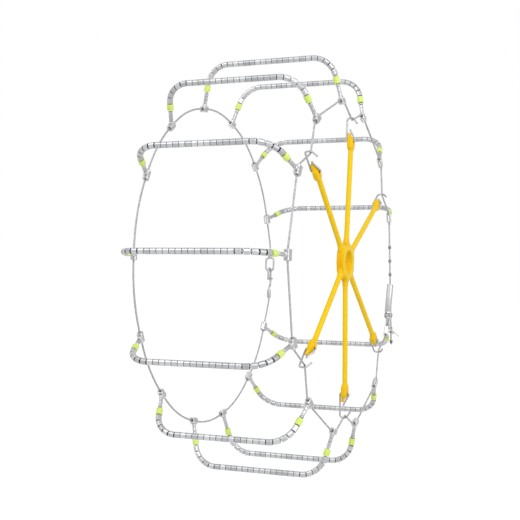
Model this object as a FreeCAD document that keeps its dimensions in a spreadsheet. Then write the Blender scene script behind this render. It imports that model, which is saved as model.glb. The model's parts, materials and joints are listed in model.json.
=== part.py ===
"""Cable snow chain for a passenger-car tyre, in the shape it takes on the wheel.

Frame: origin at the wheel's centre, wheel axis along Y, outer side of the wheel toward -Y, +Z up.
Lengths are in millimetres. A cross member lies in a plane that holds the Y axis, so its
geometry is written as (y, radius) and turned to its station angle, measured from +X toward +Z.
"""
import FreeCAD, Part
import Sketcher
import math
import os

V = FreeCAD.Vector
doc = FreeCAD.newDocument("snow_chain")

# ------------------------------------------------------------------ driving dimensions
SIZES = {
    # the tyre the net is sized for, and the ring of stations round it
    "crown_radius": 339.0,       # centreline of the sleeves that lie on the tread
    "wall_drop": 71.5,           # the circle of the two side cables is this much smaller in radius
    "side_cable_y": 122.8,       # side cables stand this far from the wheel's middle plane
    "hook_draw": 24.5,           # how far a hook pulls the outer cable in from that circle
    "wall_lean": 13.0,           # lean of a cross member on the sidewall, degrees from radial
    "first_station": 92.0,       # angle of the first cross member, degrees
    "open_angle": 27.4,          # degrees between two cross members with no hook between them
    "hooked_angle": 24.9,        # degrees between two cross members drawn together by a hook
    # cross members
    "cross_cable_od": 4.5,
    "sleeve_od": 9.4,
    "sleeve_length": 9.2,
    "sleeve_gap": 0.7,           # between two sleeves on the tread
    "roller_clearance": 0.08,    # round the cable, inside a sleeve on the tread
    "bend_clearance": 0.2,       # the same inside a sleeve that sits on a bend
    "end_sleeve_od": 10.6,
    "end_sleeve_length": 11.4,
    "end_sleeve_gap": 1.0,       # from the end sleeve to where the shoulder's bend starts
    "collar_od": 7.4,
    "collar_length": 2.4,
    "ferrule_od": 6.4,
    "ferrule_length": 15.4,
    "clamp_length": 16.6,        # along the side cable
    "clamp_width": 10.6,         # along the cross member
    "clamp_depth": 8.8,
    "neck_od": 7.6,
    "neck_length": 3.7,
    # side cables and their stops
    "side_cable_od": 3.3,
    "bead_od": 5.6,
    "bead_length": 6.4,
    "bead_pitch": 25.4,
    "bead_free_run": 40.0,       # least bare cable between the first bead and the clamp above it
    # rubber tensioner
    "hub_x": -7.0,
    "hub_z": 8.0,
    "hub_od": 61.0,
    "hub_hole": 36.0,
    "hub_thickness": 12.4,
    "strap_width": 9.0,
    "strap_thickness": 8.2,
    "root_flare": 15.5,          # an arm's flare ends this far outside the hub's rim
    "grip_width": 18.0,          # in the wheel's plane
    "grip_thickness": 10.4,      # along Y, at the eyelet
    "grip_length": 31.0,
    # wire hooks between tensioner and cable
    "hook_wire": 3.0,
    "hook_clearance": 0.6,       # between a hook's free leg and the grip
    "hook_length": 41.0,
    "hook_offset": 8.4,          # from the cable to the hook's long leg, along Y
    # lever that closes the outer cable
    "lever_gauge": 1.6,
    "lever_clearance": 0.35,     # between a bead and the lever's side
    "lever_pin": 4.0,
    "lever_pin_distance": 18.7,  # from where the cable leaves the clamp below it
    "lever_reach": 71.8,         # from there to the bead that the lever holds
    # closing of the inner cable
    "loop_wire": 3.5,
    "loop_width": 16.0,
    "loop_near": 5.95,           # the loop's two ends, along the cable from the closing's middle
    "loop_far": 30.0,
    "inner_hook_bar": 4.0,
    "inner_hook_width": 12.0,
    "inner_sleeve_od": 7.6,
    "inner_sleeve_length": 16.0,
    "gate_pin_od": 1.6,
}

sheet = doc.addObject("Spreadsheet::Sheet", "Sizes")
for row, (alias, value) in enumerate(SIZES.items(), start=1):
    sheet.set("A%d" % row, alias)
    sheet.set("B%d" % row, str(value))
    sheet.setAlias("B%d" % row, alias)
doc.recompute()


def size(alias):
    """A driving dimension, read back from the sheet."""
    return float(sheet.get(alias))


# ------------------------------------------------------------------ helpers
def unit(vector):
    return vector / vector.Length


def circle_area(diameter):
    return math.pi * diameter ** 2 / 4


def at_station(angle, y, radius):
    """Point of a cross member's plane."""
    turn = math.radians(angle)
    return V(radius * math.cos(turn), y, radius * math.sin(turn))


def tangent(angle):
    """Direction of growing station angle."""
    turn = math.radians(angle)
    return V(-math.sin(turn), 0, math.cos(turn))


def laid(shape, origin, along, across=None):
    """A copy of a shape made on the Z axis, moved to origin with Z along a direction.

    across sets where the shape's X axis ends up.
    """
    along = unit(along)
    side = across or (V(1, 0, 0) if abs(along.x) < 0.9 else V(0, 1, 0))
    side = unit(side - along * side.dot(along))
    copy = shape.copy()
    turn = FreeCAD.Rotation(side, along.cross(side), along, "ZXY")
    copy.Placement = FreeCAD.Placement(origin, turn)
    return copy


def route(points, bends):
    """Wire of straight runs joined by tangent arcs, one bend radius for each inner point."""
    edges, start = [], points[0]
    for before, corner, after, bend in zip(points, points[1:], points[2:], bends):
        back, ahead = unit(before - corner), unit(after - corner)
        half = back.getAngle(ahead) / 2
        if half > math.pi / 2 - 1e-6:
            continue
        reach = bend / math.tan(half)
        middle = unit(back + ahead)
        centre = corner + middle * (bend / math.sin(half))
        first, last = corner + back * reach, corner + ahead * reach
        if (first - start).Length > 1e-6:
            edges.append(Part.LineSegment(start, first).toShape())
        edges.append(Part.Arc(first, centre - middle * bend, last).toShape())
        start = last
    if (points[-1] - start).Length > 1e-6:
        edges.append(Part.LineSegment(start, points[-1]).toShape())
    return Part.Wire(edges)


def rod(wire, diameter):
    """Round bar swept along a wire."""
    edge = wire.Edges[0]
    heading = edge.tangentAt(edge.FirstParameter)
    section = Part.Wire(Part.makeCircle(diameter / 2, edge.valueAt(edge.FirstParameter), heading))
    return wire.makePipeShell([section], True, False)


def prism(corners, height, origin, along, across):
    """Solid of a flat outline drawn in (across, along x across) and raised along a direction."""
    outline = [V(a, b, 0) for a, b in corners]
    face = Part.Face(Part.makePolygon(outline + outline[:1]))
    return laid(face.extrude(V(0, 0, height)), origin, along, across)


sub_parts = []


def node(label, shape):
    """Named sub-part with a ready shape."""
    feature = doc.addObject("Part::Feature", label)
    feature.Label = label
    feature.Shape = shape
    sub_parts.append(feature)
    return feature


def ring_body(label, outer, bore, length, edge_break):
    """Tube on the Z axis, centred on the origin, with its outer edges broken.

    outer, bore and length are expressions on the sheet.
    """
    body = doc.addObject("PartDesign::Body", label)
    body.Label = label
    sketch = body.newObject("Sketcher::SketchObject", label + "_section")
    plane = next(f for f in body.Origin.OriginFeatures if f.Role == "XY_Plane")
    sketch.AttachmentSupport = [(plane, "")]
    sketch.MapMode = "FlatFace"
    for index, (diameter, start) in enumerate(((outer, 2.0), (bore, 1.0))):
        sketch.addGeometry(Part.Circle(V(), V(0, 0, 1), start), False)
        sketch.addConstraint(Sketcher.Constraint("Coincident", index, 3, -1, 1))
        sketch.addConstraint(Sketcher.Constraint("Diameter", index, 2 * start))
        sketch.setExpression("Constraints[%d]" % (2 * index + 1), diameter)
    pad = body.newObject("PartDesign::Pad", label + "_pad")
    pad.Profile = sketch
    pad.SideType = "Symmetric"
    pad.setExpression("Length", length)
    doc.recompute()
    circles = [(i, e.Curve.Radius) for i, e in enumerate(pad.Shape.Edges) if hasattr(e.Curve, "Radius")]
    widest = max(radius for i, radius in circles)
    chamfer = body.newObject("PartDesign::Chamfer", label + "_edges")
    chamfer.Base = (pad, ["Edge%d" % (i + 1) for i, radius in circles if radius > widest - 1e-6])
    chamfer.Size = edge_break
    body.Tip = chamfer
    return body


def row_body(label, outer, bore, length, gap, edge_break, count):
    """A row of such tubes along the Z axis, centred on the origin."""
    body = ring_body(label, outer, bore, length, edge_break)
    body.AllowCompound = True
    sketch, pad, chamfer = body.Group
    pad.SideType = "One side"
    doc.recompute()
    line = body.newObject("PartDesign::LinearPattern", label + "_line")
    line.Originals = [pad, chamfer]
    line.Direction = (sketch, ["N_Axis"])
    line.setExpression("Length", "%d * (%s + %s)" % (count - 1, length, gap))
    line.Occurrences = count
    body.Tip = line
    return body


def headed_pin(label, start, end, diameter, head_diameter, head):
    """Pin between two points with a flat head beyond each end. The diameters are expressions."""
    along = unit(end - start)
    pieces = []
    for name, foot, across, height in (("shaft", start, diameter, (end - start).Length),
                                       ("near_head", start - along * head, head_diameter, head),
                                       ("far_head", end, head_diameter, head)):
        cylinder = doc.addObject("Part::Cylinder", label + "_" + name)
        cylinder.setExpression("Radius", "(%s) / 2" % across)
        cylinder.Height = height
        cylinder.Placement = FreeCAD.Placement(foot, FreeCAD.Rotation(V(0, 0, 1), along))
        pieces.append(cylinder)
    pin = doc.addObject("Part::MultiFuse", label)
    pin.Label = label
    pin.Shapes = pieces
    pin.Refine = True
    doc.recompute()
    sub_parts.append(pin)
    return pin


# ------------------------------------------------------------------ stations
# Thirteen cross members. A hook draws the outer cable in between the pairs listed here; the
# gap after the tenth member is the wide one, where the two side cables are closed.
HOOKED_GAPS = (1, 4, 6, 8, 10, 12)     # gap i follows cross member i, counted from 0
CLOSING_GAP = 9
STATIONS = 13
BEADS_BELOW = 4                        # on the loose end, below the bead that the lever holds
wide_gap_angle = 360 - 6 * (size("open_angle") + size("hooked_angle"))
angles = [size("first_station")]
for gap in range(STATIONS - 1):
    if gap == CLOSING_GAP:
        step = wide_gap_angle
    else:
        step = size("hooked_angle" if gap in HOOKED_GAPS else "open_angle")
    angles.append(angles[-1] + step)
closing_angle = angles[CLOSING_GAP] + wide_gap_angle / 2

outer_y = -size("side_cable_y")
side_cable_radius = size("crown_radius") - size("wall_drop")
hooked_radius = side_cable_radius - size("hook_draw")
lean = math.radians(size("wall_lean"))
corner_y = size("wall_drop") * math.tan(lean) - size("side_cable_y")


def wall_point(angle, side, distance):
    """Point on a cross member's sidewall run, measured from the side cable. side: -1 outer, 1 inner."""
    return at_station(angle, side * (size("side_cable_y") - distance * math.sin(lean)),
                      side_cable_radius + distance * math.cos(lean))


def wall_direction(angle, side):
    return unit(wall_point(angle, side, 1) - wall_point(angle, side, 0))


# ------------------------------------------------------------------ pattern pieces
CABLE = "Sizes.cross_cable_od"
BEND_BORE = CABLE + " + 2 * Sizes.bend_clearance"
sleeve_pattern = ring_body("pattern_sleeve", "Sizes.sleeve_od", BEND_BORE, "Sizes.sleeve_length", 0.5)
end_pattern = ring_body("pattern_end_sleeve", "Sizes.end_sleeve_od", BEND_BORE,
                        "Sizes.end_sleeve_length", 0.8)
collar_pattern = ring_body("pattern_collar", "Sizes.collar_od", CABLE, "Sizes.collar_length", 0.5)
ferrule_pattern = ring_body("pattern_ferrule", "Sizes.ferrule_od", CABLE, "Sizes.ferrule_length", 0.7)
bead_pattern = ring_body("pattern_bead", "Sizes.bead_od", "Sizes.side_cable_od", "Sizes.bead_length", 0.9)
doc.recompute()

# ------------------------------------------------------------------ cross members
neck_end = size("clamp_width") / 2 + size("neck_length") - 0.5
cable_start = size("clamp_width") / 2 - 1.5          # a cross cable ends inside its clamp
ferrule_middle = neck_end + size("ferrule_length") / 2
collar_middle = neck_end + size("ferrule_length") + 0.6 + size("collar_length") / 2
end_middle = collar_middle + size("collar_length") / 2 + 2.2 + size("end_sleeve_length") / 2

# the shoulder's bend takes up what the wall leaves beyond the end sleeve
turn_angle = 90 - size("wall_lean")
wall_straight = end_middle + size("end_sleeve_length") / 2 + size("end_sleeve_gap")
shoulder_reach = size("wall_drop") / math.cos(lean) - wall_straight
shoulder_bend = shoulder_reach / math.tan(math.radians(turn_angle / 2))
arc_centre_y = abs(corner_y) - shoulder_reach
arc_centre_radius = size("crown_radius") - shoulder_bend

# as many sleeves as fit: end to end on the tread, and with their inner rims nearly touching on a bend
sleeve_pitch = size("sleeve_length") + size("sleeve_gap")
crown_count = int(2 * arc_centre_y / sleeve_pitch)
rim_angle = 2 * math.degrees(math.atan(size("sleeve_length") / 2 / (shoulder_bend - size("sleeve_od") / 2)))
shoulder_count = int(turn_angle / rim_angle)
print("sleeves on the tread", crown_count, "on each shoulder", shoulder_count,
      "bend", round(shoulder_bend, 2))

cross_cables, collars, ferrules, clamps, ends, shoulders = [], {}, {}, {}, {}, {}
for side in (-1, 1):
    collars[side], ferrules[side], clamps[side], ends[side], shoulders[side] = [], [], [], [], []

# A clamp is a pressed block round the side cable, with a crimp ridge toward the axis and a neck that
# takes the ferrule. It is made with the side cable along X and the cross member along +Z.
block = doc.addObject("Part::Box", "pattern_clamp_block")
for side_name, alias in (("Length", "clamp_length"), ("Width", "clamp_depth"), ("Height", "clamp_width")):
    block.setExpression(side_name, "Sizes." + alias)
doc.recompute()
half_clamp = size("clamp_length") / 2
press = block.Shape.makeFillet(1.9, block.Shape.Edges)
press.translate(V(-half_clamp, -size("clamp_depth") / 2, -size("clamp_width") / 2))
neck_tube = Part.makeCylinder(size("neck_od") / 2, neck_end, V(), V(0, 0, 1))
ridge = Part.makeBox(size("clamp_length") - 5, 2.4, 1.0,
                     V(2.5 - half_clamp, -1.2, -size("clamp_width") / 2 - 0.6))
passage = Part.makeCylinder(size("side_cable_od") / 2, size("clamp_length") + 2,
                            V(-half_clamp - 1, 0, 0), V(1, 0, 0))
socket = Part.makeCylinder(size("cross_cable_od") / 2, neck_end, V(0, 0, cable_start))
clamp = press.fuse([neck_tube, ridge]).cut(passage).cut(socket).removeSplitter()

for angle in angles:
    path = [wall_point(angle, -1, cable_start),
            at_station(angle, corner_y, size("crown_radius")),
            at_station(angle, -corner_y, size("crown_radius")),
            wall_point(angle, 1, cable_start)]
    cross_cables.append(rod(route(path, [shoulder_bend] * 2), size("cross_cable_od")))
    for side in (-1, 1):
        heading = wall_direction(angle, side)
        clamps[side].append(laid(clamp, wall_point(angle, side, 0), heading, tangent(angle)))
        for pile, pattern, middle in ((ferrules, ferrule_pattern, ferrule_middle),
                                      (collars, collar_pattern, collar_middle),
                                      (ends, end_pattern, end_middle)):
            pile[side].append(laid(pattern.Shape, wall_point(angle, side, middle), heading))
        for index in range(shoulder_count):
            swing = math.radians((index + 0.5) * turn_angle / shoulder_count)
            spot = at_station(angle, side * (arc_centre_y + shoulder_bend * math.sin(swing)),
                              arc_centre_radius + shoulder_bend * math.cos(swing))
            ahead = at_station(angle, side * math.cos(swing), -math.sin(swing))
            shoulders[side].append(laid(sleeve_pattern.Shape, spot, ahead))

node("cross_cables", Part.makeCompound(cross_cables))
for side, name in ((-1, "outer"), (1, "inner")):
    node(name + "_cable_clamps", Part.makeCompound(clamps[side]))
    node(name + "_ferrules", Part.makeCompound(ferrules[side]))
    node(name + "_collars", Part.makeCompound(collars[side]))
    node(name + "_green_sleeves", Part.makeCompound(ends[side]))
    node(name + "_shoulder_sleeves", Part.makeCompound(shoulders[side]))

for number, angle in enumerate(angles, start=1):
    row = row_body("crown_rollers_%02d" % number, "Sizes.sleeve_od",
                   CABLE + " + 2 * Sizes.roller_clearance", "Sizes.sleeve_length", "Sizes.sleeve_gap",
                   0.5, crown_count)
    row_length = crown_count * sleeve_pitch - size("sleeve_gap")
    row.Placement = FreeCAD.Placement(at_station(angle, -row_length / 2, size("crown_radius")),
                                      FreeCAD.Rotation(V(0, 0, 1), V(0, 1, 0)))
    sub_parts.append(row)
doc.recompute()

# ------------------------------------------------------------------ outer side cable
# One cable: from the closing lever's eye down and round by way of every clamp and hook, back
# up to the member above the wide gap, then straight down as the beaded run that the lever holds.
straight = half_clamp + 3.0
lower_clamp = at_station(angles[CLOSING_GAP], outer_y, side_cable_radius)
upper_clamp = at_station(angles[CLOSING_GAP + 1], outer_y, side_cable_radius)
upper_exit = upper_clamp - tangent(angles[CLOSING_GAP + 1]) * straight
lower_exit = lower_clamp + tangent(angles[CLOSING_GAP]) * straight
rise = math.sqrt(size("lever_reach") ** 2 - (upper_exit.x - lower_exit.x) ** 2)
held_bead = V(upper_exit.x, outer_y, lower_exit.z + rise)
beads_above = int((upper_exit.z - held_bead.z - size("bead_free_run")) / size("bead_pitch"))
bead_points = [held_bead + V(0, 0, i * size("bead_pitch")) for i in range(beads_above, -BEADS_BELOW - 1, -1)]
print("beads above the lever", beads_above, "held bead at", [round(c, 2) for c in held_bead])
lever_along = unit(held_bead - lower_exit)
lever_out = V(lever_along.z, 0, -lever_along.x)
pin_point = lower_exit + lever_along * size("lever_pin_distance")

points, bends = [pin_point - lever_along * 13.0], []
hook_points = []
for index in list(range(CLOSING_GAP, -1, -1)) + list(range(STATIONS - 1, CLOSING_GAP, -1)):
    clamp_point = at_station(angles[index], outer_y, side_cable_radius)
    for offset in (straight, -straight):
        points.append(clamp_point + tangent(angles[index]) * offset)
        bends.append(9.0)
    if (index - 1) % STATIONS in HOOKED_GAPS:
        before = angles[index - 1] - (360 if index == 0 else 0)
        hook_points.append(at_station((angles[index] + before) / 2, outer_y, hooked_radius))
        points.append(hook_points[-1])
        bends.append(6.0)
points.append(V(upper_exit.x, outer_y, bead_points[-1].z - size("bead_length") / 2 - 2.0))
outer_route = route(points, bends)
outer_cable = rod(outer_route, size("side_cable_od"))
node("outer_side_cable", outer_cable)
node("cable_beads", Part.makeCompound([laid(bead_pattern.Shape, p, V(0, 0, 1)) for p in bead_points]))
print("outer cable, volume over section", round(outer_cable.Volume / circle_area(size("side_cable_od"))),
      "route", round(outer_route.Length))

# ------------------------------------------------------------------ closing lever
# A folded channel on a cross pin. Its end wall is slotted to take the cable above a bead, and is
# open away from the hub, so the lever lets go of the bead when its slotted end swings to the hub.
# Points are (along the lever, outwards from the hub, toward the wheel's outer side).
gauge = size("lever_gauge")
half_width = size("bead_od") / 2 + size("lever_clearance") + gauge
bead_reach = size("lever_reach") - size("lever_pin_distance")
wall_start = bead_reach + size("bead_length") / 2 + 1.0
lever_end = wall_start + gauge
web_side, open_side = -size("bead_od") / 2 - gauge - 2.6, size("bead_od") / 2 - 0.3


def lever_point(along, out, aside):
    return pin_point + lever_along * along + lever_out * out + V(0, -aside, 0)


def lever_strip(line, first_out, last_out):
    """Sheet strip that follows a line of (along, aside) points, as wide as the channel is deep."""
    sides = ([], [])
    for i, (along, aside) in enumerate(line):
        here = V(along, aside, 0)
        back = unit(here - V(*line[i - 1], 0)) if i else None
        ahead = unit(V(*line[i + 1], 0) - here) if i + 1 < len(line) else None
        run = unit((back or ahead) + (ahead or back))
        reach = gauge / 2 / run.dot(ahead or back)
        for pile, sign in zip(sides, (1, -1)):
            pile.append((along - sign * run.y * reach, aside + sign * run.x * reach))
    return prism(sides[0] + sides[1][::-1], last_out - first_out, lever_point(0, first_out, 0),
                 lever_out, lever_along)


def lever_cylinder(diameter, first, last):
    """Cylinder round the pin's axis between two distances toward the outer side."""
    return Part.makeCylinder(diameter / 2, last - first, lever_point(0, 0, first), V(0, -1, 0))


flange = half_width - gauge / 2
joggle = flange + 2.0
web = prism([(6, -half_width), (lever_end, -half_width), (lever_end, half_width), (6, half_width)],
            gauge, lever_point(0, web_side, 0), lever_out, lever_along)
outer_flange = lever_strip([(lever_end, flange), (9, flange), (3, joggle), (-24, joggle), (-39, 24)],
                           web_side + gauge, open_side)
inner_flange = lever_strip([(lever_end, -flange), (-5.5, -flange)], web_side + gauge, open_side)
end_wall = prism([(wall_start, -half_width), (lever_end, -half_width), (lever_end, half_width),
                  (wall_start, half_width)], open_side - web_side, lever_point(0, web_side, 0),
                 lever_out, lever_along)
slot_half = size("side_cable_od") / 2 + 0.35
slot = prism([(wall_start - 1, -slot_half), (lever_end + 1, -slot_half), (lever_end + 1, slot_half),
              (wall_start - 1, slot_half)], open_side + 5.5, lever_point(0, -4.5, 0), lever_out, lever_along)
lever = web.fuse([outer_flange, inner_flange, end_wall]).cut(slot)
lever = lever.cut(lever_cylinder(size("lever_pin") + 0.12, -20, 20)).removeSplitter()
node("closing_lever", lever)

eye_half = flange - gauge / 2 - 0.35
tongue = lever_cylinder(size("lever_pin") + 4.8, -eye_half, eye_half)
shank = prism([(-9, -eye_half), (0, -eye_half), (0, eye_half), (-9, eye_half)], 5.8,
              lever_point(0, -2.9, 0), lever_out, lever_along)
sleeve = Part.makeCylinder(2.9, 11, lever_point(-18, 0, 0), lever_along)
cable_hole = Part.makeCylinder(size("side_cable_od") / 2, 5, lever_point(-18, 0, 0), lever_along)
eye = tongue.fuse([shank, sleeve]).cut(cable_hole)
eye = eye.cut(lever_cylinder(size("lever_pin"), -20, 20)).removeSplitter()
node("closing_eye", eye)

pin_outer, pin_inner = joggle + gauge / 2 + 0.3, -half_width - 0.3
headed_pin("closing_pin", lever_point(0, 0, pin_inner), lever_point(0, 0, pin_outer),
           "Sizes.lever_pin", "Sizes.lever_pin + 3", 1.2)

# wire keeper that the loose end of the beaded run is tucked through, and that hangs on its cable
keeper_radius, keeper_wire = 4.2, 2.0
keeper_slack = keeper_radius - keeper_wire / 2 - size("side_cable_od") / 2
keeper_tilt = math.radians(35)
keeper_axis = V(math.sin(keeper_tilt), 0, math.cos(keeper_tilt))
keeper_drop = size("bead_length") / 2 + keeper_radius * math.sin(keeper_tilt) + keeper_wire
keeper_middle = bead_points[-2] - V(0, keeper_slack - 0.3, keeper_drop)
keeper_ring = Part.makeTorus(keeper_radius, keeper_wire / 2, keeper_middle, keeper_axis)
near_rim = keeper_middle - V(math.cos(keeper_tilt), 0, -math.sin(keeper_tilt)) * keeper_radius
stem_start = lever_point(-15, 2.3, 0)
stem = Part.makeCylinder(keeper_wire / 2, (near_rim - stem_start).Length, stem_start, near_rim - stem_start)
node("tail_keeper", keeper_ring.fuse(stem.cut(sleeve)).removeSplitter())

# ------------------------------------------------------------------ inner side cable and its closing
# An open ring behind the tyre. One end carries a loop, the other a hook with a sprung gate.
inner_middle = at_station(closing_angle, -outer_y, side_cable_radius)
inner_along = tangent(closing_angle)
inner_out = at_station(closing_angle, 0, 1)


def inner_point(along, out, aside=0.0):
    """Point near the inner closing: along the cable, away from the axis, toward +Y."""
    return inner_middle + inner_along * along + inner_out * out + V(0, aside, 0)


def straight_bend(half_turn, straight_run):
    """Bend radius at a corner between two tangents of the ring that leaves a straight run on each."""
    return side_cable_radius - straight_run / math.tan(math.radians(half_turn))


def ring_corner(angle, half_turn):
    """Where the tangents of the ring meet, halfway between two points half_turn either side."""
    return at_station(angle, -outer_y, side_cable_radius / math.cos(math.radians(half_turn)))


# it runs straight through each clamp and end fitting, and bends evenly between them
quarter = wide_gap_angle / 4
loop_sleeve_start = size("loop_far") - 1.5
hook_sleeve_start = -48.0
end_runs = [loop_sleeve_start + size("inner_sleeve_length") + 1.0, 1.0 - hook_sleeve_start]
ring_points = [inner_point(loop_sleeve_start + 4.5, 0), ring_corner(closing_angle + quarter, quarter)]
ring_bends = [straight_bend(quarter, end_runs[0])]
for index in list(range(CLOSING_GAP + 1, STATIONS)) + list(range(CLOSING_GAP)):
    ahead = angles[(index + 1) % STATIONS] + (360 if index == STATIONS - 1 else 0)
    half_gap = (ahead - angles[index]) / 2
    ring_points.append(ring_corner(angles[index] + half_gap, half_gap))
    ring_bends.append(straight_bend(half_gap, half_clamp + 1.0))
ring_points += [ring_corner(closing_angle - quarter, quarter), inner_point(hook_sleeve_start + 10, 0)]
ring_bends.append(straight_bend(quarter, end_runs[1]))
inner_route = route(ring_points, ring_bends)
inner_cable = rod(inner_route, size("side_cable_od"))
node("inner_side_cable", inner_cable)
print("inner cable, volume over section", round(inner_cable.Volume / circle_area(size("side_cable_od"))),
      "route", round(inner_route.Length))

near, far, half_loop = size("loop_near"), size("loop_far"), size("loop_width") / 2
middle = (near + far) / 2
loop_points = [inner_point(a, 0, c) for a, c in ((middle, half_loop), (far, half_loop), (far, -half_loop),
                                                 (near, -half_loop), (near, half_loop), (middle, half_loop))]
loop = rod(route(loop_points, [5.0] * 4), size("loop_wire"))


def end_sleeve(start, cable_from):
    """Pressed sleeve on an end of the inner cable, bored for the cable."""
    sleeve = Part.makeCylinder(size("inner_sleeve_od") / 2, size("inner_sleeve_length"),
                               inner_point(start, 0), inner_along)
    bore = Part.makeCylinder(size("side_cable_od") / 2, 20, inner_point(cable_from, 0), inner_along)
    return sleeve.cut(bore)


node("inner_loop", loop.fuse(end_sleeve(loop_sleeve_start, loop_sleeve_start + 4.5)).removeSplitter())

bill = size("inner_hook_width") / 2
hook_line = [inner_point(a, b) for a, b in ((-36, 0), (-28, 0), (-22, bill), (10, bill), (10, -bill),
                                            (-13, -bill))]
inner_hook = rod(route(hook_line, [4.0, 4.0, bill, bill]), size("inner_hook_bar"))
gate_pivot = -10.0


def gate_box(low, high):
    """Box between two (along, out, aside) corners near the inner closing."""
    (a0, b0, c0), (a1, b1, c1) = low, high
    corners = [(a0, c0), (a1, c0), (a1, c1), (a0, c1)]
    return prism(corners, b1 - b0, inner_point(0, b0), inner_out, inner_along)


def gate_cylinder(diameter, first, last):
    return Part.makeCylinder(diameter / 2, last - first, inner_point(gate_pivot, bill, first), V(0, 1, 0))


inner_hook = inner_hook.fuse(end_sleeve(hook_sleeve_start, hook_sleeve_start - 10))
inner_hook = inner_hook.cut(gate_cylinder(size("gate_pin_od"), -9, 9))
node("inner_hook", inner_hook.removeSplitter())
ears = [gate_box((gate_pivot - 1.6, -3.7, min(c)), (gate_pivot + 1.6, 7.6, max(c)))
        for c in ((2.35, 3.35), (-2.35, -3.35))]
gate_plate = gate_box((gate_pivot - 0.6, -3.7, -3.35), (gate_pivot + 0.6, 1.7, 3.35))
gate = gate_plate.fuse(ears).cut(gate_cylinder(size("gate_pin_od") + 0.1, -9, 9))
node("hook_gate", gate.removeSplitter())
headed_pin("gate_pin", inner_point(gate_pivot, bill, -3.65), inner_point(gate_pivot, bill, 3.65),
           "Sizes.gate_pin_od", "Sizes.gate_pin_od + 1.2", 0.75)

# ------------------------------------------------------------------ tensioner and its wire hooks
# A rubber spider: a ring with six arms, each ending in a grip that a wire hook passes through.
hub_point = V(size("hub_x"), outer_y, size("hub_z"))
strap = (size("strap_width") / 2, size("strap_thickness") / 2)
grip = (size("grip_width") / 2, size("grip_thickness") / 2)
EYELET = 0.476                       # the eyelet's place, as a share of the grip's length
hub_radius = size("hub_od") / 2
root_end = hub_radius + size("root_flare")
grip_length = size("grip_length")
hook_apex = size("side_cable_od") / 2 + size("hook_wire") / 2 + 0.9
hook_bottom = hook_apex - size("hook_length")
grip_back = hook_bottom - EYELET * grip_length       # the grip's inner end, from the cable


def section(centre, along, half_wide, half_thick, power):
    """Closed curve across an arm, from an ellipse (power 2) to a rounded oblong (power 4)."""
    across, points = unit(along.cross(V(0, 1, 0))), []
    for index in range(24):
        turn = 2 * math.pi * index / 24
        c, s = math.cos(turn), math.sin(turn)
        radius = (abs(c / half_wide) ** power + abs(s / half_thick) ** power) ** (-1 / power)
        points.append(centre + across * (radius * c) + V(0, radius * s, 0))
    curve = Part.BSplineCurve()
    curve.interpolate(points, PeriodicFlag=True)
    return Part.Wire(curve.toShape())


def lofted(start, along, sections):
    """Smooth solid through sections given as (distance, half width, half thickness, shift, power)."""
    return Part.makeLoft([section(start + along * d + V(0, shift, 0), along, wide, thick, power)
                          for d, wide, thick, shift, power in sections], True)


disc = Part.makeCylinder(size("hub_od") / 2, size("hub_thickness"),
                         hub_point + V(0, size("hub_thickness") / 2, 0), V(0, -1, 0))
rims = [e for e in disc.Edges if isinstance(e.Curve, Part.Circle)]
disc = disc.makeFillet(2.6, rims)
# an arm's root, as (distance beyond the hub's rim, half width, half thickness)
ROOT_FORM = ((-10.5, 11.5, 5.4), (-2.5, 10.4, 5.3), (3.5, 7.6, 4.9), (9.5, 5.2, 4.3))
roots, hook_frames = [], []
for spot in hook_points:
    along = unit(spot - hub_point)
    reach = (spot - hub_point).Length
    hook_frames.append((spot, along, reach))
    flare = [(hub_radius + beyond, wide, thick, 0, 2) for beyond, wide, thick in ROOT_FORM]
    roots.append(lofted(hub_point, along, flare + [(root_end, *strap, 0, 2)]))
hole = Part.makeCylinder(size("hub_hole") / 2, 2 * size("hub_thickness"),
                         hub_point + V(0, size("hub_thickness"), 0), V(0, -1, 0))
hub = disc.fuse(roots).cut(hole).removeSplitter()
node("tensioner_hub", hub)

# A grip is a paddle, wide in the wheel's plane, that ends in a nub leaning toward the wheel. Each row
# is the share of the grip's length, of its half width and of its half thickness, the lean, and the
# power of its section.
GRIP_FORM = ((0.07, 0.76, 0.88, 0.1, 2.5), (0.15, 0.95, 0.96, 0.2, 3.2), (0.32, 1.0, 1.0, 0.4, 3.6),
             (0.52, 0.98, 0.98, 0.4, 3.6), (0.64, 0.87, 0.9, 0.7, 3.2), (0.71, 0.62, 0.76, 1.5, 2.8),
             (0.78, 0.42, 0.58, 2.8, 2.5), (0.9, 0.37, 0.46, 3.7, 2.4), (1.0, 0.28, 0.36, 4.0, 2.3))
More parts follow.
